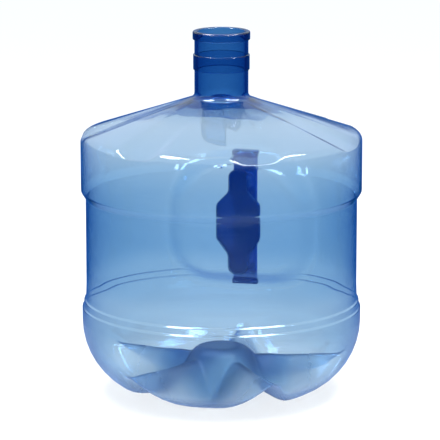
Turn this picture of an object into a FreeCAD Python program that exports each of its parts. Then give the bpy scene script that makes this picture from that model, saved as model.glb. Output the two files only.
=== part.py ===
"""Three-gallon water bottle: a blown shell with a footed base, and the carry handle it is blown around."""
import FreeCAD, Part
import math
import os
import re

import Sketcher

doc = FreeCAD.newDocument("water_bottle")

# Driving sizes in millimetres, but degrees where a name ends in angle and a number where it ends in count.
# Heights are measured up from the table, and radii out from the bottle's axis.
SIZES = {
    # Walls and fits
    "body_wall": 0.9,
    "neck_wall": 3.3,
    "dome_wall": 3.2,
    "socket_clearance": 0.1,
    # Neck, measured down from the mouth: plain tube, holding bead and rolled lip
    "bottle_height": 352.0,
    "neck_radius": 25.8,
    "neck_root_round": 6.0,
    "lip_proud": 1.7,
    "lip_depth": 8.0,
    "lip_round": 1.6,
    "lip_under_round": 0.8,
    "bead_proud": 1.2,
    "bead_drop": 36.8,
    "bead_depth": 14.4,
    "bead_round": 0.5,
    # Shoulder cone, from its rim to the neck, and its radial flutes
    "crown_depth": 99.5,
    "shoulder_angle": 18.5,
    "shoulder_round": 14.0,
    "flute_count": 7,
    "flute_width": 34.0,
    "flute_neck_width": 22.0,
    "flute_depth": 6.0,
    "flute_start": 12.0,
    "flute_lead": 0.5,
    "flute_flank_angle": 52.0,
    "flute_round": 5.0,
    # Band, and the waist, flare and lower ring set in from it
    "band_radius": 135.0,
    "band_depth": 54.0,
    "waist_inset": 4.5,
    "step_depth": 7.0,
    "step_round": 4.0,
    "ring_inset": 0.5,
    "ring_high": 85.5,
    "ring_step_depth": 8.0,
    "ring_round": 4.0,
    "flare_inset": 2.7,
    "flare_depth": 14.0,
    "flare_round": 30.0,
    # Base: rolled corner, feet, valleys between them and the raised middle
    "corner_radius": 72.0,
    "foot_width": 16.0,
    "foot_round": 4.0,
    "dome_height": 42.0,
    "dome_flat": 24.0,
    "dome_round": 14.0,
    "valley_count": 5,
    "valley_crest": 32.0,
    "valley_angle": 39.0,
    "valley_round": 8.0,
    # Hand recess in the back: its floor, and how far its sides run out on their way to the mouth
    "finger_gap": 28.0,
    "floor_half_width": 62.0,
    "floor_low": 92.0,
    "floor_high": 204.0,
    "floor_low_round": 18.0,
    "floor_high_round": 54.0,
    "mouth_beyond": 5.0,
    "side_run": 44.0,
    "sill_run": 12.0,
    "arch_run": 8.0,
    "mouth_low_round": 24.0,
    "mouth_high_round": 70.0,
    # Carry handle: grip bar, two legs and the anchor plate in the recess floor
    "grip_inset": 6.0,
    "grip_thick": 8.0,
    "grip_width": 24.0,
    "grip_below": 13.0,
    "grip_above": 9.0,
    "grip_corner": 7.0,
    "grip_edge": 3.0,
    "leg_thick": 15.0,
    "leg_round": 4.0,
    "leg_sink": 3.0,
    "upper_leg_drop": 8.5,
    "lower_leg_rise": 2.5,
    "plate_thick": 8.0,
    "plate_lock": 1.0,
    "plate_margin": 5.5,
    "plate_width": 41.5,
    "plate_taper": 13.0,
    "plate_round": 8.0,
    "tongue_width": 16.5,
    "tongue_length": 34.5,
    "heel_width": 17.5,
    "heel_length": 32.0,
}

# Sizes that follow from them
RIM = "(bottle_height - crown_depth)"
BAND_LOW = f"({RIM} - band_depth)"
WAIST = "(band_radius - waist_inset)"
RING = "(band_radius - ring_inset)"
FLARE = "(band_radius - flare_inset)"
FLARE_LOW = "(ring_high + ring_step_depth)"
FOOT_INSIDE = f"({RING} - corner_radius - foot_width)"
BORE = "(neck_radius - neck_wall)"
LIP = "(neck_radius + lip_proud)"
LIP_LOW = "(bottle_height - lip_depth)"
BEAD = "(neck_radius + bead_proud)"
BEAD_LOW = "(bottle_height - bead_drop)"
BEAD_HIGH = f"({BEAD_LOW} + bead_depth)"
FLUTE_HEIGHT = "(2 * flute_depth)"
GRIP_FACE = "(band_radius - grip_inset - grip_thick)"
GRIP_LOW = "(floor_low - grip_below)"
GRIP_HIGH = "(floor_high + grip_above)"
RECESS_FLOOR = f"({GRIP_FACE} - finger_gap)"
RECESS_MOUTH = "(band_radius + mouth_beyond)"
PLATE_LOW = "(floor_low + plate_margin)"
PLATE_HIGH = "(floor_high - plate_margin)"

sheet = doc.addObject("Spreadsheet::Sheet", "Sizes")
for row, (alias, value) in enumerate(SIZES.items(), start=1):
    sheet.set(f"A{row}", alias)
    sheet.set(f"B{row}", str(value))
    sheet.setAlias(f"B{row}", alias)
doc.recompute()


def bound(text):
    """The expression that reads each named size in text from the sheet."""
    return re.sub(r"[a-z_]+", lambda word: f"Sizes.{word[0]}" if word[0] in SIZES else word[0], text)


def measure(text):
    """The present value of an expression of named sizes."""
    return float(sheet.evalExpression(bound(text)))


def datum(body, role):
    return next(item for item in body.Origin.OriginFeatures if item.Role == role)


def outline(body, name, role, corners, depth="0"):
    """A closed sketch through corners (across, up) or (across, up, round), each an expression of named sizes.

    depth is how far the sketch lies behind its plane: for the XZ plane, its place along +Y.
    """
    sketch = body.newObject("Sketcher::SketchObject", name)
    sketch.AttachmentSupport = (datum(body, role), [""])
    sketch.MapMode = "FlatFace"
    sketch.setExpression("AttachmentOffset.Base.z", bound(f"-({depth})"))
    places = [FreeCAD.Vector(measure(corner[0]), measure(corner[1]), 0) for corner in corners]
    rounds = [measure(corner[2]) if len(corner) > 2 else 0.0 for corner in corners]
    count = len(corners)

    def direction(index):
        return (places[(index + 1) % count] - places[index % count]).normalize()

    def trim(index):
        return rounds[index] * math.tan(direction(index - 1).getAngle(direction(index)) / 2)

    def bind(kind, *where, text):
        index = sketch.addConstraint(Sketcher.Constraint(kind, *where, measure(text)))
        sketch.setExpression(f"Constraints[{index}]", bound(text))

    sides = []
    for index in range(count):
        following = (index + 1) % count
        start = places[index] + direction(index) * trim(index)
        end = places[following] - direction(index) * trim(following)
        sides.append(sketch.addGeometry(Part.LineSegment(start, end), False))
    for index, corner in enumerate(corners):
        before, after = sides[index - 1], sides[index]
        if rounds[index]:
            leftward = direction(index - 1).cross(direction(index)).z > 0
            inward = FreeCAD.Vector(0, 0, 1 if leftward else -1).cross(direction(index))
            arc_end = places[index] + direction(index) * trim(index)
            arc_start = places[index] - direction(index - 1) * trim(index)
            centre = arc_end + inward * rounds[index]
            first, last = (arc_start, arc_end) if leftward else (arc_end, arc_start)
            angles = [math.atan2(point.y - centre.y, point.x - centre.x) for point in (first, last)]
            circle = Part.Circle(centre, FreeCAD.Vector(0, 0, 1), rounds[index])
            arc = sketch.addGeometry(Part.ArcOfCircle(circle, *angles), False)
            mark = sketch.addGeometry(Part.Point(places[index]), True)
            near, far = (1, 2) if leftward else (2, 1)
            sketch.addConstraint(Sketcher.Constraint("Tangent", before, 2, arc, near))
            sketch.addConstraint(Sketcher.Constraint("Tangent", arc, far, after, 1))
            sketch.addConstraint(Sketcher.Constraint("PointOnObject", mark, 1, before))
            sketch.addConstraint(Sketcher.Constraint("PointOnObject", mark, 1, after))
            bind("Radius", arc, text=corner[2])
        else:
            mark = after
            sketch.addConstraint(Sketcher.Constraint("Coincident", before, 2, after, 1))
        bind("DistanceX", -1, 1, mark, 1, text=corner[0])
        bind("DistanceY", -1, 1, mark, 1, text=corner[1])
    return sketch


def feature(body, kind, name, profile, **settings):
    made = body.newObject(f"PartDesign::{kind}", name)
    made.Profile = profile
    for key, setting in settings.items():
        setattr(made, key, setting)
    return made


def around(body, name, cut, count):
    """Repeats a cut evenly about the bottle's axis."""
    pattern = body.newObject("PartDesign::PolarPattern", name)
    pattern.Originals = [cut]
    pattern.Axis = (datum(body, "Z_Axis"), [""])
    pattern.Angle = 360
    pattern.setExpression("Occurrences", bound(count))
    body.Tip = pattern
    return pattern


# Wall sections
# Each is the right half of a section through the axis, from the bottom middle outwards and up to the mouth.


def rise(radius):
    """The height of the shoulder cone over a radius."""
    return f"{RIM} + (band_radius - {radius}) * tan(shoulder_angle)"


def side_wall(wall):
    """Corners from the base's rolled corner up to the shoulder's rim, on a surface that lies wall inside."""
    rim_set_down = f"{wall} * tan(45 - shoulder_angle / 2)"
    return [
        (f"{RING} - {wall}", wall, f"corner_radius - {wall}"),
        (f"{RING} - {wall}", "ring_high", "ring_round"),
        (f"{FLARE} - {wall}", FLARE_LOW, "ring_round"),
        (f"{WAIST} - {wall}", f"{FLARE_LOW} + flare_depth", "flare_round"),
        (f"{WAIST} - {wall}", f"{BAND_LOW} - step_depth", "step_round"),
        (f"band_radius - {wall}", BAND_LOW, "step_round"),
        (f"band_radius - {wall}", f"{RIM} - {rim_set_down}", f"shoulder_round - {wall}"),
    ]


OUTSIDE = [
    ("0", "dome_height"),
    ("dome_flat", "dome_height", "dome_round"),
    (FOOT_INSIDE, "0", "foot_round"),
    *side_wall("0"),
    ("neck_radius", rise("neck_radius"), "neck_root_round"),
    ("neck_radius", BEAD_LOW, "bead_round"),
    (BEAD, BEAD_LOW, "bead_round"),
    (BEAD, BEAD_HIGH, "bead_round"),
    ("neck_radius", BEAD_HIGH, "bead_round"),
    ("neck_radius", LIP_LOW, "bead_round"),
    (LIP, LIP_LOW, "lip_under_round"),
    (LIP, "bottle_height", "lip_round"),
    ("0", "bottle_height"),
]

INSIDE = [
    ("0", "dome_height + dome_wall"),
    ("dome_flat", "dome_height + dome_wall", "dome_round"),
    (FOOT_INSIDE, "body_wall", "foot_round"),
    *side_wall("body_wall"),
    (BORE, f"{rise(BORE)} - neck_wall", "neck_root_round + body_wall"),
    (BORE, "bottle_height + neck_wall"),
    ("0", "bottle_height + neck_wall"),
]

# Cuts into the blown form
# Each takes an inset: none for the outer surface, the wall for the inner one, so the wall follows it.


def flute_section(width, floor, inset):
    """A flat floor between two sloping flanks, open at the top."""
    half_floor = f"{width} / 2 + {inset} * tan(45 - flute_flank_angle / 2)"
    half_top = f"{width} / 2 + {FLUTE_HEIGHT} * tan(flute_flank_angle) + {inset} / cos(flute_flank_angle)"
    return [
        (f"-({half_floor})", f"{floor} - {inset}", f"flute_round + {inset}"),
        (half_floor, f"{floor} - {inset}", f"flute_round + {inset}"),
        (half_top, f"{floor} + {FLUTE_HEIGHT}"),
        (f"-({half_top})", f"{floor} + {FLUTE_HEIGHT}"),
    ]


def cut_flutes(body, inset):
    """Flutes down the shoulder, each widening and deepening from near the neck to the rim, which it dips."""
    near, far = "(neck_radius + flute_start)", "(band_radius + mouth_beyond)"
    neck_end = outline(body, f"{body.Name}_flute_neck_end", "XZ_Plane",
                       flute_section("flute_neck_width", f"{rise(near)} + flute_lead", inset), depth=near)
    rim_end = outline(body, f"{body.Name}_flute_rim_end", "XZ_Plane",
                      flute_section("flute_width", f"{rise(far)} - flute_depth", inset), depth=far)
    cut = feature(body, "SubtractiveLoft", f"{body.Name}_flute_cut", neck_end, Sections=[rim_end], Ruled=True)
    around(body, f"{body.Name}_flutes", cut, "flute_count")


def cut_valleys(body, inset):
    """Round-crested valleys from the base's middle out through its rolled corner, which leave the feet."""
    peak = f"valley_crest + valley_round * (1 / sin(valley_angle) - 1) + {inset} / sin(valley_angle)"
    under = "dome_height"
    reach = f"({peak} + {under}) * tan(valley_angle)"
    profile = outline(body, f"{body.Name}_valley", "XZ_Plane", [
        (f"-({reach})", f"-{under}"),
        (reach, f"-{under}"),
        ("0", peak, f"valley_round + {inset}"),
    ])
    cut = feature(body, "Pocket", f"{body.Name}_valley_cut", profile)
    cut.setExpression("Length", bound("band_radius"))
    around(body, f"{body.Name}_valleys", cut, "valley_count")


def arch(half_width, low, high, low_round, high_round, inset):
    """An upright panel with a broad arched top."""
    wide = f"{half_width} + {inset}"
    return [
        (f"-({wide})", f"{low} - {inset}", f"{low_round} + {inset}"),
        (wide, f"{low} - {inset}", f"{low_round} + {inset}"),
        (wide, f"{high} + {inset}", f"{high_round} + {inset}"),
        (f"-({wide})", f"{high} + {inset}", f"{high_round} + {inset}"),
    ]


def cut_recess(body, inset):
    """The hand recess in the back, its sides sloping in from the wall to a flat floor."""
    floor_arch = arch("floor_half_width", "floor_low", "floor_high",
                      "floor_low_round", "floor_high_round", inset)
    mouth_arch = arch("floor_half_width + side_run", "floor_low - sill_run", "floor_high + arch_run",
                      "mouth_low_round", "mouth_high_round", inset)
    floor = outline(body, f"{body.Name}_recess_floor", "XZ_Plane", floor_arch,
                    depth=f"{RECESS_FLOOR} - {inset}")
    mouth = outline(body, f"{body.Name}_recess_mouth", "XZ_Plane", mouth_arch, depth=RECESS_MOUTH)
    feature(body, "SubtractiveLoft", f"{body.Name}_recess", floor, Sections=[mouth], Ruled=True)


def plate_outline(grow):
    """The anchor plate from behind: a narrow tongue, a broad middle and a heel, grown evenly by grow."""
    tongue = f"tongue_width / 2 + {grow}"
    middle = f"plate_width / 2 + {grow}"
    heel = f"heel_width / 2 + {grow}"
    right = [
        (heel, f"{PLATE_LOW} - {grow}", "plate_round"),
        (heel, f"{PLATE_LOW} + heel_length - plate_taper", "plate_round"),
        (middle, f"{PLATE_LOW} + heel_length", "plate_round"),
        (middle, f"{PLATE_HIGH} - tongue_length", "plate_round"),
        (tongue, f"{PLATE_HIGH} - tongue_length + plate_taper", "plate_round"),
        (tongue, f"{PLATE_HIGH} + {grow}", "plate_round"),
    ]
    left = [(f"-({across})", up, bend) for across, up, bend in reversed(right)]
    return right + left


def cut_socket(body, inset):
    """The undercut socket in the recess floor that the anchor plate is moulded into."""
    room = f"socket_clearance + {inset}"
    mouth = outline(body, f"{body.Name}_socket_mouth", "XZ_Plane", plate_outline(room),
                    depth=f"{RECESS_FLOOR} - {inset}")
    bed = outline(body, f"{body.Name}_socket_bed", "XZ_Plane", plate_outline(f"plate_lock + {room}"),
                  depth=f"{RECESS_FLOOR} - plate_thick - {room}")
    feature(body, "SubtractiveLoft", f"{body.Name}_socket", mouth, Sections=[bed], Ruled=True)


def block(half_width, low, high, bend):
    """An upright rounded block, seen from behind."""
    return [
        (f"-({half_width})", low, bend),
        (half_width, low, bend),
        (half_width, high, bend),
        (f"-({half_width})", high, bend),
    ]


def grip_outline(grow):
    return block(f"grip_width / 2 + {grow}", f"{GRIP_LOW} - {grow}", f"{GRIP_HIGH} + {grow}",
                 f"grip_corner + {grow}")


def cut_grip_seats(body, inset):
    """Blind seats above and below the recess, where the wall closes round the grip bar's two ends."""
    room = f"socket_clearance + {inset}"
    profile = outline(body, f"{body.Name}_seat", "XZ_Plane", grip_outline(room),
                      depth=f"{GRIP_FACE} - ({room})")
    cut = feature(body, "Pocket", f"{body.Name}_seats", profile)
    cut.setExpression("Length", bound(f"grip_thick + 2 * ({room})"))


def blown_form(name, section, inset):
    """The solid bounded by one surface of the bottle's wall."""
    body = doc.addObject("PartDesign::Body", name)
    profile = outline(body, f"{name}_section", "XZ_Plane", section)
    feature(body, "Revolution", f"{name}_turned", profile, ReferenceAxis=(profile, ["V_Axis"]), Angle=360)
    cut_flutes(body, inset)
    cut_valleys(body, inset)
    cut_recess(body, inset)
    cut_socket(body, inset)
    cut_grip_seats(body, inset)
    return body


# Bottle shell

shell = doc.addObject("Part::Cut", "Shell")
shell.Base = blown_form("Outside", OUTSIDE, "0")
shell.Tool = blown_form("Cavity", INSIDE, "body_wall")
shell.Label = "bottle_shell"
shell.Placement = FreeCAD.Placement()

# Carry handle


def leg(body, name, root_width, low):
    """One level leg, from inside the anchor plate to inside the grip bar."""
    high = f"{low} + leg_thick"
    root = outline(body, f"{name}_root", "XZ_Plane", block(f"{root_width} / 2", low, high, "leg_round"),
                   depth=f"{RECESS_FLOOR} - leg_sink")
    tip_half_width = "grip_width / 2 - grip_edge"
    tip = outline(body, f"{name}_tip", "XZ_Plane", block(tip_half_width, low, high, "leg_round"),
                  depth=f"{GRIP_FACE} + leg_sink")
    feature(body, "AdditiveLoft", name, root, Sections=[tip], Ruled=True)


def edges_at(shape, place):
    """Names of the edges that lie wholly in the plane Y = place."""
    flat = 1e-6
    return [
        f"Edge{index}" for index, edge in enumerate(shape.Edges, start=1)
        if abs(edge.BoundBox.YMin - place) < flat and abs(edge.BoundBox.YMax - place) < flat
    ]


handle = doc.addObject("PartDesign::Body", "Handle")
handle.Label = "carry_handle"
grip_profile = outline(handle, "grip_profile", "XZ_Plane", grip_outline("0"), depth=GRIP_FACE)
grip = feature(handle, "Pad", "grip", grip_profile, Reversed=True)
grip.setExpression("Length", bound("grip_thick"))
doc.recompute()
grip_rounds = handle.newObject("PartDesign::Fillet", "grip_rounds")
grip_faces = (measure(GRIP_FACE), measure(f"{GRIP_FACE} + grip_thick"))
grip_rounds.Base = (grip, [edge for place in grip_faces for edge in edges_at(grip.Shape, place)])
grip_rounds.setExpression("Radius", bound("grip_edge"))
leg(handle, "upper_leg", "tongue_width", f"{PLATE_HIGH} - upper_leg_drop - leg_thick")
leg(handle, "lower_leg", "heel_width", f"{PLATE_LOW} + lower_leg_rise")
plate_face = outline(handle, "plate_face", "XZ_Plane", plate_outline("0"), depth=RECESS_FLOOR)
plate_back = outline(handle, "plate_back", "XZ_Plane", plate_outline("plate_lock"),
                     depth=f"{RECESS_FLOOR} - plate_thick")
feature(handle, "AdditiveLoft", "anchor_plate", plate_face, Sections=[plate_back], Ruled=True)
handle.Placement = FreeCAD.Placement()

# Check and write

doc.recompute()
failed = [item.Name for item in doc.Objects if {"Invalid", "Error"} & set(item.State)]
if failed:
    raise RuntimeError(f"failed: {failed}")
os.makedirs("parts", exist_ok=True)
for piece in (shell, handle):
    if piece.Shape.isNull() or not piece.Shape.isValid() or len(piece.Shape.Solids) != 1:
        raise RuntimeError(f"{piece.Label} is not one valid solid")
for piece in (shell, handle):
    piece.Shape.exportStep(f"parts/{piece.Label}.step")
    print(piece.Label, round(piece.Shape.Volume), piece.Shape.BoundBox)
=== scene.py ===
"""A clear blue three-gallon water bottle with a carry handle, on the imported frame, in a white studio."""

import math

import bmesh
import bpy
from mathutils import Matrix, Vector


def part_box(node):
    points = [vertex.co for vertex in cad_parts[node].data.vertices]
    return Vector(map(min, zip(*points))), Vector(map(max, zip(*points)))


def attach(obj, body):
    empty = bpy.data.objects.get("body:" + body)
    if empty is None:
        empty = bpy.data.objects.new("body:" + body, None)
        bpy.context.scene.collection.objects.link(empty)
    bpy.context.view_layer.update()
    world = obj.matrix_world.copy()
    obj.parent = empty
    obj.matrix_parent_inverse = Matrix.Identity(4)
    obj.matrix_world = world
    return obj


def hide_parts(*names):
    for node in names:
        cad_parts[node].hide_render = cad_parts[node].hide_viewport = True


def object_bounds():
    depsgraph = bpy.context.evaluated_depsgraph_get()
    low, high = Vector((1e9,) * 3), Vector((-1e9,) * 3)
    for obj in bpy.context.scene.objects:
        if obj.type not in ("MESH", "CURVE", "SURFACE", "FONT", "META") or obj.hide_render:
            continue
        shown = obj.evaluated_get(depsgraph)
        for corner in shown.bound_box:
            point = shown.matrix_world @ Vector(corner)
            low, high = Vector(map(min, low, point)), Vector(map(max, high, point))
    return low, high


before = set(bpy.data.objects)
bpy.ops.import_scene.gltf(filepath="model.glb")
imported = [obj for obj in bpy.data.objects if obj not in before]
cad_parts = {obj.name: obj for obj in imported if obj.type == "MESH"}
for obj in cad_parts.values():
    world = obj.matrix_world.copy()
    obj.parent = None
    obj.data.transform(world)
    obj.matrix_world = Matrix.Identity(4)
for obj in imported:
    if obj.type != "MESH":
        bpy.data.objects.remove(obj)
frame_low, frame_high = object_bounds()

# Carry handle
# One piece of injection-moulded PET: a grip bar, two legs and an anchor plate, widest on the water side.
# It goes into the mould first, and the bottle is blown round its plate and the two ends of its bar.
# The sizes of the handle and the bottle are in millimetres until a mesh is made.

MM = 0.001
handle_low, handle_high = [[round(side / MM, 2) for side in corner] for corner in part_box("carry_handle")]
RECESS_FLOOR = 93.0
PLATE_BACK = handle_low[1]
PLATE_LOCK = 1.0
PLATE_LOW = 97.5
PLATE_HIGH = 198.5
PLATE_ROUND = 8.0
HEEL_HALF_WIDTH = 8.75
HEEL_HIGH = 116.5
MIDDLE_HALF_WIDTH = handle_high[0] - PLATE_LOCK
MIDDLE_LOW = 129.5
MIDDLE_HIGH = 164.0
TONGUE_HALF_WIDTH = 8.25
TONGUE_LOW = 177.0
GRIP_FACE = 121.0
GRIP_BACK = handle_high[1]
GRIP_LOW = handle_low[2]
GRIP_HIGH = handle_high[2]
GRIP_HALF_WIDTH = 12.0
GRIP_CORNER = 7.0
GRIP_EDGE = 3.0
GRIP_EDGE_STEPS = 6
LOWER_LEG = 100.0
UPPER_LEG = 175.0
LEG_HEIGHT = 15.0
LEG_CORNER = 4.0
LEG_END_HALF_WIDTH = 9.0
LEG_SINK = 3.0
HANDLE_VOXEL = 0.75
HANDLE_SMOOTHING = 5
CHORD_TURN = math.radians(9)
FEWEST_CHORDS = 3


def rounded(corners):
    """The line through corners (across, up, round), each round drawn as short chords."""
    line = []
    for index, (across, up, bend) in enumerate(corners):
        here = Vector((across, up))
        if not bend:
            line.append(here)
            continue
        arriving = (here - Vector(corners[index - 1][:2])).normalized()
        leaving = (Vector(corners[(index + 1) % len(corners)][:2]) - here).normalized()
        turn = arriving.angle(leaving)
        hand = math.copysign(1, arriving.cross(leaving))
        centre = here + (leaving - arriving).normalized() * bend / math.cos(turn / 2)
        spoke = here - arriving * bend * math.tan(turn / 2) - centre
        chords = max(FEWEST_CHORDS, math.ceil(turn / CHORD_TURN))
        for step in range(chords + 1):
            line.append(centre + Matrix.Rotation(hand * turn * step / chords, 2) @ spoke)
    return line


def block(half_width, low, high, bend):
    """The corners of an upright block, all with one round."""
    places = [(-half_width, low), (half_width, low), (half_width, high), (-half_width, high)]
    return [(across, up, bend) for across, up in places]


def plate_outline(grow):
    """The anchor plate from behind: a heel, a broad middle and a narrow tongue."""
    heel, middle, tongue = HEEL_HALF_WIDTH + grow, MIDDLE_HALF_WIDTH + grow, TONGUE_HALF_WIDTH + grow
    right = [(heel, PLATE_LOW - grow), (heel, HEEL_HIGH), (middle, MIDDLE_LOW),
             (middle, MIDDLE_HIGH), (tongue, TONGUE_LOW), (tongue, PLATE_HIGH + grow)]
    left = [(-across, up) for across, up in reversed(right)]
    return [(across, up, PLATE_ROUND) for across, up in right + left]


def grip_stations(grow):
    """The grip bar from front to back: its rounded front edge, then its rounded back edge."""
    quarter = [math.radians(90 * step / GRIP_EDGE_STEPS) for step in range(GRIP_EDGE_STEPS + 1)]
    front = [(GRIP_FACE - grow + GRIP_EDGE * (1 - math.cos(turn)), GRIP_EDGE * (math.sin(turn) - 1))
             for turn in quarter]
    back = [(GRIP_FACE + GRIP_BACK - depth, inset) for depth, inset in reversed(front)]
    stations = []
    for depth, inset in front + back:
        swell = grow + inset
        outline = block(GRIP_HALF_WIDTH + swell, GRIP_LOW - swell, GRIP_HIGH + swell, GRIP_CORNER)
        stations.append((depth, outline))
    return stations


def loft(mesh, stations):
    """Adds a closed solid through outlines, each a place along +Y and its corners."""
    rings = [[mesh.verts.new((across * MM, depth * MM, up * MM)) for across, up in rounded(corners)]
             for depth, corners in stations]
    for near, far in zip(rings, rings[1:]):
        for index in range(len(near)):
            mesh.faces.new((near[index - 1], near[index], far[index], far[index - 1]))
    mesh.faces.new(rings[0])
    mesh.faces.new(reversed(rings[-1]))
    bmesh.ops.recalc_face_normals(mesh, faces=mesh.faces)


def new_object(name, mesh):
    """The finished bmesh as an object in the scene."""
    data = bpy.data.meshes.new(name)
    mesh.to_mesh(data)
    mesh.free()
    made = bpy.data.objects.new(name, data)
    bpy.context.scene.collection.objects.link(made)
    return made


def settle(piece):
    """Turns a piece's modifiers into plain mesh."""
    evaluated = piece.evaluated_get(bpy.context.evaluated_depsgraph_get())
    plain = bpy.data.meshes.new_from_object(evaluated)
    piece.modifiers.clear()
    piece.data = plain


handle_mesh = bmesh.new()
loft(handle_mesh, [(PLATE_BACK, plate_outline(PLATE_LOCK)), (RECESS_FLOOR, plate_outline(0))])
loft(handle_mesh, grip_stations(0))
for leg_low, root_half_width in ((UPPER_LEG, TONGUE_HALF_WIDTH), (LOWER_LEG, HEEL_HALF_WIDTH)):
    leg_high = leg_low + LEG_HEIGHT
    loft(handle_mesh, [(RECESS_FLOOR - LEG_SINK, block(root_half_width, leg_low, leg_high, LEG_CORNER)),
                       (GRIP_FACE + LEG_SINK, block(LEG_END_HALF_WIDTH, leg_low, leg_high, LEG_CORNER))])
handle = new_object("moulded_carry_handle", handle_mesh)
remesh = handle.modifiers.new("One moulding", "REMESH")
remesh.voxel_size = HANDLE_VOXEL * MM
smooth = handle.modifiers.new("Moulded edges", "SMOOTH")
smooth.iterations = HANDLE_SMOOTHING
settle(handle)
handle.data.shade_smooth()

SCUFF_SIZE = 3.0
SCUFF_SPREAD = (0.35, 0.75)
SATIN_REACH = (70.0, 130.0)
SATIN_HEIGHT = (40.0, 65.0)
PET_IOR = 1.5


def linear(code):
    """A six-figure sRGB colour as linear red, green, blue and full alpha."""
    parts = [int(code[start:start + 2], 16) / 255 for start in (0, 2, 4)]
    return (*[part / 12.92 if part <= 0.04045 else ((part + 0.055) / 1.055) ** 2.4 for part in parts], 1)


def node(tree, kind, wires=(), out=0, **settings):
    """Adds a node with its settings, its inputs filled with values or links, and gives one of its outputs."""
    made = tree.nodes.new(kind)
    for name, setting in settings.items():
        setattr(made, name, setting)
    for socket, wire in wires.items() if isinstance(wires, dict) else enumerate(wires):
        if isinstance(wire, bpy.types.NodeSocket):
            tree.links.new(wire, made.inputs[socket])
        else:
            made.inputs[socket].default_value = wire
    return made.outputs[out] if made.outputs else None


def clear_plastic(name, pigment, clearness, tint, density, ripple, ripple_height, gloss, satin):
    """Glossy PET that darkens with its thickness, a little wavy from the mould and faintly scuffed.

    The pigment's two colours cloud into each other. Tint and density say what light the plastic lets through.
    Satin is the roughness added low in the middle, where the bottle stands.
    """
    made = bpy.data.materials.new(name)
    made.use_nodes = True
    tree = made.node_tree
    tree.nodes.clear()
    spot = node(tree, "ShaderNodeTexCoord", out="Object")
    waves = node(tree, "ShaderNodeTexNoise", {"Vector": spot, "Scale": 1 / (ripple * MM), "Detail": 1.0})
    grain = node(tree, "ShaderNodeTexNoise", {"Vector": spot, "Scale": 1 / (SCUFF_SIZE * MM), "Detail": 4.0})
    scuffs = node(tree, "ShaderNodeMapRange", [grain, *SCUFF_SPREAD, *gloss])
    bump = node(tree, "ShaderNodeBump", {"Height": waves, "Distance": ripple_height * MM, "Strength": 1.0})
    height = node(tree, "ShaderNodeSeparateXYZ", [spot], out="Z")
    flat_spot = node(tree, "ShaderNodeVectorMath", [spot, (1, 1, 0)], operation="MULTIPLY")
    from_axis = node(tree, "ShaderNodeVectorMath", [flat_spot], out="Value", operation="LENGTH")
    reach = [from_axis, SATIN_REACH[0] * MM, SATIN_REACH[1] * MM, satin, 0]
    in_middle = node(tree, "ShaderNodeMapRange", reach, interpolation_type="SMOOTHSTEP")
    rise = [height, SATIN_HEIGHT[0] * MM, SATIN_HEIGHT[1] * MM, 1, 0]
    low_down = node(tree, "ShaderNodeMapRange", rise, interpolation_type="SMOOTHSTEP")
    roughness = node(tree, "ShaderNodeMath", [in_middle, low_down, scuffs], operation="MULTIPLY_ADD")
    cast = node(tree, "ShaderNodeMix", {0: waves, 6: linear(pigment[0]), 7: linear(pigment[1])},
                out=2, data_type="RGBA")
    surface = node(tree, "ShaderNodeBsdfPrincipled", {
        "Base Color": cast, "Roughness": roughness, "IOR": PET_IOR,
        "Transmission Weight": clearness, "Normal": bump})
    inside = node(tree, "ShaderNodeVolumeAbsorption", {"Color": tint, "Density": density})
    node(tree, "ShaderNodeOutputMaterial", {"Surface": surface, "Volume": inside})
    return made


# Heavily pigmented PET, moulded thick: a dark, even blue that lets a little light through where it is thin.
handle.data.materials.clear()
handle.data.materials.append(
    clear_plastic("Dark blue moulded PET", ("4C74E0", "3860D0"), 0.45, (0.114, 0.54, 0.786, 1), 150,
                  ripple=18, ripple_height=0.1, gloss=(0.03, 0.09), satin=0))
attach(handle, "root")
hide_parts("carry_handle")

# Bottle shell
# A stretch-blown PET wall: a thick straight neck with a raised band and a rolled lip, a fluted shoulder,
# a stepped body, a hand recess in the back and a base on five feet.
# The blown wall closes round the handle and holds it.

BAND = round(frame_high[0] / MM, 2)
MOUTH = round(frame_high[2] / MM, 2)
NECK = 25.8
BORE = 22.5
NECK_WALL = NECK - BORE
NECK_BAND = 27.0
NECK_BAND_LOW = 315.2
NECK_BAND_HIGH = 329.6
NECK_EDGE = 0.5
LIP = 27.5
LIP_LOW = 344.0
RIM = 252.5
SHOULDER_ANGLE = math.radians(18.5)
NECK_ROOT = RIM + (BAND - NECK) * math.tan(SHOULDER_ANGLE)
NECK_BLEND = 8.0
WALL_END = NECK_ROOT + NECK_BLEND
STEP_LOW = 191.5
STEP_HIGH = 198.5
WAIST = 130.5
WAIST_LOW = 107.5
RING = 134.5
LEDGES = ((RING, 84.6), (132.9, 86.2), (132.7, 91.6), (131.0, 93.2))
LEDGE_ROUND = 1.2
BASE_CORNER = 72.0
DOME_HEIGHT = 42.0
DOME_FLAT = 24.0
DOME_FOOT = 46.5
BACK_ARC = math.radians(92)
BACK_SEGMENTS = 72
REST_SEGMENTS = 108
PITCH = 4.0
FINE_PITCH = 1.1
FINE_HEIGHTS = ((74, 104), (202, 216))
ROW_SLACK = 0.01
SIDE = 128.0
BASE_TOP = 60.0

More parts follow.
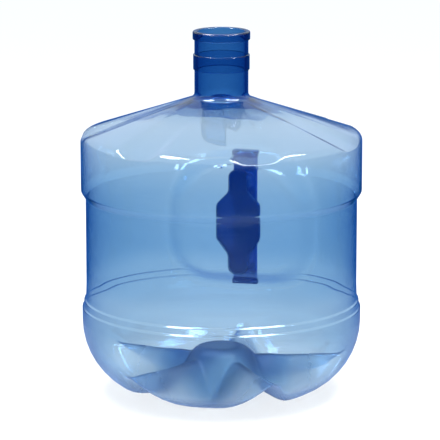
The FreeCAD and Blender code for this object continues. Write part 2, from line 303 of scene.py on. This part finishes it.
outside = rounded([
    (0, DOME_HEIGHT, 0), (DOME_FLAT, DOME_HEIGHT, 14), (DOME_FOOT, 0, 4), (RING, 0, BASE_CORNER),
    *[(across, up, LEDGE_ROUND) for across, up in LEDGES],
    (WAIST, WAIST_LOW, 30), (WAIST, STEP_LOW, 2), (BAND, STEP_HIGH, 4), (BAND, RIM, 8),
    (NECK, NECK_ROOT, 6), (NECK, WALL_END, 0),
    (NECK, NECK_BAND_LOW, NECK_EDGE), (NECK_BAND, NECK_BAND_LOW, NECK_EDGE),
    (NECK_BAND, NECK_BAND_HIGH, NECK_EDGE), (NECK, NECK_BAND_HIGH, NECK_EDGE),
    (NECK, LIP_LOW, NECK_EDGE), (LIP, LIP_LOW, 0.8), (LIP, MOUTH, 1.6),
    (BORE, MOUTH, 0.9), (BORE, WALL_END, 0),
])

# The wall that blowing leaves, at places across the base and up the sides: thick at the neck and in the
# base's middle, thin where it stretched the most.
BASE_WALL = [(0, 2.4), (46, 2.2), (58, 1.2), (70, 0.35), (112, 0.35), (126, 0.7), (BAND, 0.7)]
SIDE_WALL = [(BASE_TOP, 0.7), (103, 0.75), (120, 1.2), (170, 1.5), (190, 1.3), (207, 0.9), (225, 0.65),
             (245, 0.4), (272, 0.4), (279, 0.7), (284, 1.4), (NECK_ROOT, 2.5), (NECK_ROOT + 5, NECK_WALL),
             (MOUTH, NECK_WALL)]


def row_pitch(across, up):
    """How far apart the mesh's rows lie: closest where the recess's sill and arch are drawn in steeply."""
    fine = across > SIDE and any(low < up < high for low, high in FINE_HEIGHTS)
    return FINE_PITCH if fine else PITCH


def wall_at(across, up):
    """The wall's thickness at a point of the outside."""
    along, table = (up, SIDE_WALL) if up > BASE_TOP else (across, BASE_WALL)
    for (low, thin), (high, thick) in zip(table, table[1:]):
        if along <= high:
            return thin + (thick - thin) * (along - low) / (high - low)


rows = [outside[0]]
for start, end in zip(outside, outside[1:]):
    steps = math.ceil((end - start).length / row_pitch(*((start + end) / 2)) - ROW_SLACK)
    rows += [start.lerp(end, step / steps) for step in range(1, steps + 1)]
turns = [BACK_ARC * (step / BACK_SEGMENTS - 0.5) for step in range(BACK_SEGMENTS)]
turns += [BACK_ARC / 2 + (math.tau - BACK_ARC) * step / REST_SEGMENTS for step in range(REST_SEGMENTS)]
spokes = [(math.sin(turn), math.cos(turn)) for turn in turns]

shell_mesh = bmesh.new()
thickness = shell_mesh.verts.layers.float.new("wall")
walled = True
last_ring = None
for across, up in rows:
    if across == 0:
        ring = [shell_mesh.verts.new((0, 0, up * MM))] * len(spokes)
    else:
        ring = [shell_mesh.verts.new((across * right * MM, across * back * MM, up * MM))
                for right, back in spokes]
    for corner in ring:
        corner[thickness] = wall_at(across, up) * MM if walled else 0
    walled = walled and up < WALL_END
    if last_ring:
        for index in range(len(spokes)):
            quad = (ring[index - 1], ring[index], last_ring[index], last_ring[index - 1])
            shell_mesh.faces.new(quad if last_ring[0] is not last_ring[1] else quad[:3])
    last_ring = ring
shell = new_object("blown_bottle_shell", shell_mesh)


def flute_floor(across, depth):
    """The height of a flute's floor, sunk by depth under the shoulder's cone."""
    return RIM + (BAND - across) * math.tan(SHOULDER_ANGLE) - depth


# The rule that shapes the turned form: flutes down the shoulder, valleys between the feet, and the recess.
# The inner face then follows the outer one at the wall's thickness.
FLUTE_NECK_END = 37.8
FLUTE_RIM_END = 140.0
MERGE_DISTANCE = 0.03
form_sizes = {
    "Flute count": 7, "Flute neck end": FLUTE_NECK_END * MM, "Flute rim end": FLUTE_RIM_END * MM,
    "Flute neck half width": 11 * MM, "Flute rim half width": 17 * MM,
    "Flute neck floor": flute_floor(FLUTE_NECK_END, -0.5) * MM,
    "Flute rim floor": flute_floor(FLUTE_RIM_END, 6) * MM,
    "Flute steepness": math.tan(math.radians(52)), "Flute round": 4 * MM,
    "Shoulder start": 30 * MM, "Shoulder full": 42 * MM,
    "Valley count": 5, "Valley apex": 41 * MM, "Valley crest round": 9 * MM,
    "Valley steepness": math.tan(math.radians(36)), "Foot round": 13 * MM, "Valley limit": 100 * MM,
    "Recess floor": RECESS_FLOOR * MM, "Recess depth": 47 * MM, "Recess half width": 62 * MM,
    "Recess side run": 44 * MM, "Recess mouth round": 16 * MM, "Recess floor round": 14 * MM,
    "Arch height": 204 * MM, "Arch round": 54 * MM, "Arch run": 8 * MM,
    "Sill height": 96 * MM, "Sill round": 34 * MM, "Sill run": 22 * MM,
}
form = bpy.data.node_groups.new("Blown form", "GeometryNodeTree")
form.interface.new_socket("Geometry", in_out="INPUT", socket_type="NodeSocketGeometry")
form.interface.new_socket("Geometry", in_out="OUTPUT", socket_type="NodeSocketGeometry")
for name in form_sizes:
    form.interface.new_socket(name, in_out="INPUT", socket_type="NodeSocketFloat")
shell_modifier = shell.modifiers.new("Blown form", "NODES")
shell_modifier.node_group = form
for item in form.interface.items_tree:
    if item.name in form_sizes:
        shell_modifier[item.identifier] = float(form_sizes[item.name])
given = node(form, "NodeGroupInput").node.outputs
spot = node(form, "GeometryNodeInputPosition")
x, y, z = node(form, "ShaderNodeSeparateXYZ", [spot]).node.outputs
flat_spot = node(form, "ShaderNodeVectorMath", [spot, (1, 1, 0)], operation="MULTIPLY")
from_axis = node(form, "ShaderNodeVectorMath", [flat_spot], out="Value", operation="LENGTH")

off_line, on_line = {}, {}
for feature in ("Flute count", "Valley count"):
    half_turn = node(form, "ShaderNodeMath", [math.pi, given[feature]], operation="DIVIDE")
    minus_half = node(form, "ShaderNodeMath", [half_turn, -1], operation="MULTIPLY")
    bearing = node(form, "ShaderNodeMath", [x, y], operation="ARCTAN2")
    off_bearing = node(form, "ShaderNodeMath", [bearing, half_turn, minus_half], operation="WRAP")
    sine = node(form, "ShaderNodeMath", [off_bearing], operation="SINE")
    sideways = node(form, "ShaderNodeMath", [sine, from_axis], operation="MULTIPLY")
    off_line[feature] = node(form, "ShaderNodeMath", [sideways], operation="ABSOLUTE")
    cosine = node(form, "ShaderNodeMath", [off_bearing], operation="COSINE")
    on_line[feature] = node(form, "ShaderNodeMath", [cosine, from_axis], operation="MULTIPLY")

ends = [on_line["Flute count"], given["Flute neck end"], given["Flute rim end"]]
floors = [given["Flute neck floor"], given["Flute rim floor"]]
floor_height = node(form, "ShaderNodeMapRange", ends + floors, clamp=False)
half_widths = [given["Flute neck half width"], given["Flute rim half width"]]
half_width = node(form, "ShaderNodeMapRange", ends + half_widths)
past_floor = node(form, "ShaderNodeMath", [off_line["Flute count"], half_width], operation="SUBTRACT")
up_flank = node(form, "ShaderNodeMath", [past_floor, given["Flute steepness"]], operation="DIVIDE")
flank = node(form, "ShaderNodeMath", [up_flank, 0, given["Flute round"]], operation="SMOOTH_MAX")
flute_face = node(form, "ShaderNodeMath", [floor_height, flank], operation="ADD")
sunk = node(form, "ShaderNodeMath", [z, flute_face, given["Flute round"]], operation="SMOOTH_MIN")
sinking = node(form, "ShaderNodeMath", [z, sunk], operation="SUBTRACT")
shoulder = [from_axis, given["Shoulder start"], given["Shoulder full"]]
on_shoulder = node(form, "ShaderNodeMapRange", shoulder, interpolation_type="SMOOTHSTEP")
flutes = node(form, "ShaderNodeMath", [sinking, on_shoulder], operation="MULTIPLY")

fall = node(form, "ShaderNodeMath", [off_line["Valley count"], given["Valley steepness"]], operation="DIVIDE")
slant = node(form, "ShaderNodeCombineXYZ", [fall, given["Valley crest round"], 0])
drop = node(form, "ShaderNodeVectorMath", [slant], out="Value", operation="LENGTH")
roof = node(form, "ShaderNodeMath", [given["Valley apex"], drop], operation="SUBTRACT")
raised = node(form, "ShaderNodeMath", [z, roof, given["Foot round"]], operation="SMOOTH_MAX")
raising = node(form, "ShaderNodeMath", [raised, z], operation="SUBTRACT")
in_base = node(form, "ShaderNodeMath", [z, given["Valley limit"]], operation="LESS_THAN")
valleys = node(form, "ShaderNodeMath", [raising, in_base], operation="MULTIPLY")

to_side = node(form, "ShaderNodeMath", [x], operation="ABSOLUTE")
slopes = []
for edge, upward in (("Arch", 1), ("Sill", -1)):
    bend = given[f"{edge} round"]
    flat_side = node(form, "ShaderNodeMath", [given["Recess half width"], bend], operation="SUBTRACT")
    past_side = node(form, "ShaderNodeMath", [to_side, flat_side], operation="SUBTRACT")
    above_edge = node(form, "ShaderNodeMath", [z, given[f"{edge} height"]], operation="SUBTRACT")
    past_edge = node(form, "ShaderNodeMath", [above_edge, upward, bend], operation="MULTIPLY_ADD")
    beside = node(form, "ShaderNodeMath", [past_side, 0], operation="MAXIMUM")
    beyond = node(form, "ShaderNodeMath", [past_edge, 0], operation="MAXIMUM")
    past_corner = node(form, "ShaderNodeCombineXYZ", [beside, 0, beyond])
    reach = node(form, "ShaderNodeVectorMath", [past_corner], out="Value", operation="LENGTH")
    upright = node(form, "ShaderNodeMath", [beyond, reach], operation="DIVIDE")
    upright_share = node(form, "ShaderNodeMath", [upright, upright], operation="MULTIPLY")
    runs = [given["Recess side run"], given[f"{edge} run"]]
    run = node(form, "ShaderNodeMapRange", [upright_share, 0, 1, *runs])
    past_round = node(form, "ShaderNodeMath", [reach, bend], operation="SUBTRACT")
    slopes.append(node(form, "ShaderNodeMath", [past_round, run], operation="DIVIDE"))
steepest = node(form, "ShaderNodeMath", slopes, operation="MAXIMUM")
climb = node(form, "ShaderNodeMath", [steepest, given["Recess depth"]], operation="MULTIPLY")
lifted = node(form, "ShaderNodeMath", [climb, 0, given["Recess floor round"]], operation="SMOOTH_MAX")
recess_face = node(form, "ShaderNodeMath", [lifted, given["Recess floor"]], operation="ADD")
drawn_in = node(form, "ShaderNodeMath", [y, recess_face, given["Recess mouth round"]], operation="SMOOTH_MIN")
recess = node(form, "ShaderNodeMath", [drawn_in, y], operation="SUBTRACT")

upwards = node(form, "ShaderNodeMath", [valleys, flutes], operation="SUBTRACT")
moved = node(form, "ShaderNodeCombineXYZ", [0, recess, upwards])
outer_face = node(form, "GeometryNodeSetPosition", {"Geometry": given["Geometry"], "Offset": moved})
wall = node(form, "GeometryNodeInputNamedAttribute", ["wall"])
inwards = node(form, "ShaderNodeMath", [wall, -1], operation="MULTIPLY")
facing = node(form, "GeometryNodeInputNormal")
set_in = node(form, "ShaderNodeVectorMath", {0: facing, "Scale": inwards}, operation="SCALE")
offset_face = node(form, "GeometryNodeSetPosition", {"Geometry": outer_face, "Offset": set_in})
no_wall = node(form, "ShaderNodeMath", [wall, MERGE_DISTANCE * MM], operation="LESS_THAN")
trimmed_face = node(form, "GeometryNodeDeleteGeometry", {"Geometry": offset_face, "Selection": no_wall})
inner_face = node(form, "GeometryNodeFlipFaces", [trimmed_face])
both_faces = node(form, "GeometryNodeJoinGeometry", [outer_face])
form.links.new(inner_face, both_faces.node.inputs[0])
closed = node(form, "GeometryNodeMergeByDistance", {"Geometry": both_faces, "Distance": MERGE_DISTANCE * MM})
real = node(form, "GeometryNodeRealizeInstances", [closed])
# Clear PET with a trace of blue, blown against a cold mould: pale where the wall is thin, deep blue where it
# is thick or seen edge on, with soft ripples in its reflections.
shell_plastic = clear_plastic("Clear blue blown PET", ("FAFDFF", "FFFFFF"), 1.0, (0.2, 0.58, 0.82, 1), 700,
                              ripple=30, ripple_height=0.25, gloss=(0.01, 0.05), satin=0.3)
finished = node(form, "GeometryNodeSetMaterial", {"Geometry": real, "Material": shell_plastic})
node(form, "NodeGroupOutput", [finished])
settle(shell)

# The wall closes round the handle: a boss of wall on the water side, with the handle's room cut out of it.
# The handle reaches a hair into the wall, so that no sliver of air shows between them.
FIT = -0.05
SOCKET_WALL = 0.5
LOW_END_SEAT = 83.6
HIGH_END_SEAT = 209.5
ROOM_BEYOND = 1.0
SHARP_TURN = math.radians(40)
boss_grow = FIT + SOCKET_WALL
boss_mesh = bmesh.new()
loft(boss_mesh, [(PLATE_BACK - boss_grow, plate_outline(PLATE_LOCK + boss_grow)),
                 (RECESS_FLOOR - SOCKET_WALL / 2, plate_outline(boss_grow))])
for seat_low, seat_high in ((GRIP_LOW - boss_grow, LOW_END_SEAT), (HIGH_END_SEAT, GRIP_HIGH + boss_grow)):
    seat = block(GRIP_HALF_WIDTH + boss_grow, seat_low, seat_high, 0)
    loft(boss_mesh, [(GRIP_FACE - boss_grow, seat), (GRIP_BACK + boss_grow, seat)])
boss = new_object("boss", boss_mesh)
room_mesh = bmesh.new()
loft(room_mesh, [(PLATE_BACK - FIT, plate_outline(PLATE_LOCK + FIT)),
                 (RECESS_FLOOR + ROOM_BEYOND, plate_outline(FIT))])
loft(room_mesh, grip_stations(FIT))
room = new_object("room", room_mesh)
for tool, action in ((boss, "UNION"), (room, "DIFFERENCE")):
    join = shell.modifiers.new(action, "BOOLEAN")
    join.object = tool
    join.operation = action
    join.solver = "EXACT"
settle(shell)
for tool in (boss, room):
    bpy.data.objects.remove(tool)
shell.data.shade_smooth()
shell.data.set_sharp_from_angle(angle=SHARP_TURN)
shell.data.materials.clear()
shell.data.materials.append(shell_plastic)
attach(shell, "root")
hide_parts("bottle_shell")

# Studio
# A pale floor that runs out of the picture, a white surround and two strip lamps overhead, set out in metres.
# Clear plastic needs something to show, so light and shade are painted into what it shows. Seen through it,
# the floor is dimmer, with painted light right under the bottle and a painted shadow round it. Mirrored in
# it, floor and surround are painted blue with a pale ceiling, and a pale patch of floor before the bottle is
# a painted reflection that shows only as a mirror image.

FLOOR_HALF_WIDTH = 9.0
FLOOR_HEIGHT = -0.0003
# Where the pale patch painted into the floor's reflections lies.
REFLECTED_PATCH_PLACE = (0.1, -0.5, 0)
# Each fade goes from one distance from the bottle or the painted reflection patch to another, and from one
# level to another.
BENEATH_FADE = (0.1, 0.25, 0.45, 0)
FAR_FADE = (0.25, 1.2, 0.28, 0.68)
MIRRORED_FADE = (0.22, 0.5, 0.6, 0)
REFLECTED_PATCH_FADE = (0.2, 0.55, 1, 0)
FLOOR_GLOW_SHARE = 0.7
FLOOR_GLOW = 1.06
# The blue painted into the reflections of floor and surround.
MIRRORED_BLUE = linear("2060B0")

floor_mesh = bmesh.new()
bmesh.ops.create_grid(floor_mesh, x_segments=2, y_segments=2, size=FLOOR_HALF_WIDTH,
                      matrix=Matrix.Translation((0, 0, FLOOR_HEIGHT)))
floor = new_object("studio_floor", floor_mesh)
floor_paint = bpy.data.materials.new("Pale studio floor")
floor_paint.use_nodes = True
floor_tree = floor_paint.node_tree
floor_tree.nodes.clear()


def ray_kinds(tree):
    """Whether the camera sees a ray straight, sees it through clear plastic, or sees it mirrored."""
    path = node(tree, "ShaderNodeLightPath").node.outputs
    depth, through_depth, diffuse_depth = path["Ray Depth"], path["Transmission Depth"], path["Diffuse Depth"]
    turned_back = node(tree, "ShaderNodeMath", [depth, through_depth], operation="SUBTRACT")
    mirrorings = node(tree, "ShaderNodeMath", [turned_back, diffuse_depth], operation="SUBTRACT")
    mirrored = node(tree, "ShaderNodeMath", [mirrorings, 0.5], operation="GREATER_THAN")
    let_through = [path["Is Transmission Ray"], mirrored]
    through = node(tree, "ShaderNodeMath", let_through, operation="SUBTRACT", use_clamp=True)
    return path["Is Camera Ray"], through, mirrored


straight_ray, through_ray, mirrored_ray = ray_kinds(floor_tree)
seen_ray = node(floor_tree, "ShaderNodeMath", [straight_ray, through_ray], operation="MAXIMUM")
glow_share = node(floor_tree, "ShaderNodeMath", [seen_ray, FLOOR_GLOW_SHARE], operation="MULTIPLY")
floor_spot = node(floor_tree, "ShaderNodeTexCoord", out="Object")
away = node(floor_tree, "ShaderNodeVectorMath", [floor_spot], out="Value", operation="LENGTH")
# Painted light and shade on the floor as seen through the plastic: brighter right under the bottle, a painted
# shadow round it that lightens far off.
beneath = node(floor_tree, "ShaderNodeMapRange", [away, *BENEATH_FADE], interpolation_type="SMOOTHSTEP")
far_off = node(floor_tree, "ShaderNodeMapRange", [away, *FAR_FADE])
through_level = node(floor_tree, "ShaderNodeMath", [beneath, far_off], operation="ADD")
glow_level = node(floor_tree, "ShaderNodeMapRange", [through_ray, 0, 1, FLOOR_GLOW, through_level])
matt = node(floor_tree, "ShaderNodeBsdfDiffuse", {"Color": linear("F4F4F2")})
glow = node(floor_tree, "ShaderNodeEmission", {"Color": linear("FFFFFF"), "Strength": glow_level})
pale = node(floor_tree, "ShaderNodeMixShader", [glow_share, matt, glow])
# Painted reflection: mirrored in the plastic the floor shows pale near the bottle and deep blue farther out.
near_bottle = node(floor_tree, "ShaderNodeMapRange", [away, *MIRRORED_FADE], interpolation_type="SMOOTHSTEP")
# Painted reflection: a pale patch of floor before the bottle, shown only to mirrored rays.
from_reflected_patch = node(floor_tree, "ShaderNodeVectorMath", [floor_spot, REFLECTED_PATCH_PLACE], operation="SUBTRACT")
reflected_patch_away = node(floor_tree, "ShaderNodeVectorMath", [from_reflected_patch], out="Value", operation="LENGTH")
on_reflected_patch = node(floor_tree, "ShaderNodeMapRange", [reflected_patch_away, *REFLECTED_PATCH_FADE], interpolation_type="SMOOTHSTEP")
bare_floor = node(floor_tree, "ShaderNodeMix", {0: near_bottle, 6: MIRRORED_BLUE, 7: linear("C4D8FF")},
                  out=2, data_type="RGBA")
mirrored_floor = node(floor_tree, "ShaderNodeMix", {0: on_reflected_patch, 6: bare_floor, 7: linear("A8C8FF")},
                      out=2, data_type="RGBA")
mirror_glow = node(floor_tree, "ShaderNodeEmission", {"Color": mirrored_floor, "Strength": 1.0})
shown = node(floor_tree, "ShaderNodeMixShader", [mirrored_ray, pale, mirror_glow])
node(floor_tree, "ShaderNodeOutputMaterial", {"Surface": shown})
floor.data.materials.append(floor_paint)

# Painted reflection: mirrored in the plastic the surround shows blue near the horizon and pale overhead, with
# a painted brighter ceiling; seen straight or through the plastic it is white.
MIRRORED_HORIZON = (0.0, 0.3)
MIRRORED_CEILING = 0.2
SURROUND_LIGHT = 0.7

world = bpy.data.worlds.new("White surround")
bpy.context.scene.world = world
world.use_nodes = True
sky = world.node_tree
sky.nodes.clear()
straight_ray, through_ray, mirrored_ray = ray_kinds(sky)
direction = node(sky, "ShaderNodeTexCoord", out="Generated")
steepness = node(sky, "ShaderNodeSeparateXYZ", [direction], out="Z")
overhead = node(sky, "ShaderNodeMapRange", [steepness, *MIRRORED_HORIZON], interpolation_type="SMOOTHSTEP")
mirrored_walls = node(sky, "ShaderNodeMix", {0: overhead, 6: MIRRORED_BLUE, 7: linear("D2E2F8")},
                      out=2, data_type="RGBA")
sky_colour = node(sky, "ShaderNodeMix", {0: mirrored_ray, 6: linear("FFFFFF"), 7: mirrored_walls},
                  out=2, data_type="RGBA")
straight_or_through = node(sky, "ShaderNodeMath", [straight_ray, through_ray], operation="ADD")
seen_ray = node(sky, "ShaderNodeMath", [straight_or_through, mirrored_ray], operation="ADD", use_clamp=True)
plain_level = node(sky, "ShaderNodeMapRange", [seen_ray, 0, 1, SURROUND_LIGHT, 1.0])
ceiling = node(sky, "ShaderNodeMath", [overhead, mirrored_ray], operation="MULTIPLY")
sky_level = node(sky, "ShaderNodeMath", [ceiling, MIRRORED_CEILING, plain_level], operation="MULTIPLY_ADD")
surround = node(sky, "ShaderNodeBackground", {"Color": sky_colour, "Strength": sky_level})
node(sky, "ShaderNodeOutputWorld", {"Surface": surround})

LAMP_AIM = Vector((0, 0, 0.18))
LAMP_POWER = 22
for name, lamp_place, lamp_size in (("left", (-0.5, -0.1, 1.35), (1.0, 0.28)),
                                    ("right", (0.55, -0.1, 1.35), (1.0, 0.32))):
    lamp = bpy.data.lights.new(f"{name} lamp", "AREA")
    lamp.shape = "RECTANGLE"
    lamp.size, lamp.size_y = lamp_size
    lamp.energy = LAMP_POWER
    lamp_object = bpy.data.objects.new(f"{name}_lamp", lamp)
    lamp_object.location = lamp_place
    lamp_object.rotation_euler = (LAMP_AIM - Vector(lamp_place)).to_track_quat("-Z", "Y").to_euler()
    bpy.context.scene.collection.objects.link(lamp_object)

CAMERA_AIM = Vector((0, 0, 0.168))
CAMERA_AZIMUTH = math.radians(11.2)
CAMERA_ELEVATION = math.radians(11.9)
CAMERA_DISTANCE = 2.95
CAMERA_SPREAD = math.radians(8.22)
CAMERA_SHIFT = -0.0032
camera = bpy.data.cameras.new("photo view")
camera.angle = CAMERA_SPREAD
camera.shift_x = CAMERA_SHIFT
level_reach = math.cos(CAMERA_ELEVATION)
towards = Vector((math.sin(CAMERA_AZIMUTH) * level_reach, -math.cos(CAMERA_AZIMUTH) * level_reach,
                  math.sin(CAMERA_ELEVATION)))
camera_object = bpy.data.objects.new("photo_view", camera)
camera_object.location = CAMERA_AIM + towards * CAMERA_DISTANCE
camera_object.rotation_euler = (-towards).to_track_quat("-Z", "Y").to_euler()
scene = bpy.context.scene
scene.collection.objects.link(camera_object)
scene.camera = camera_object
scene.view_settings.view_transform = "Standard"
scene.cycles.max_bounces = 20
scene.cycles.transmission_bounces = 20
scene.cycles.glossy_bounces = 8
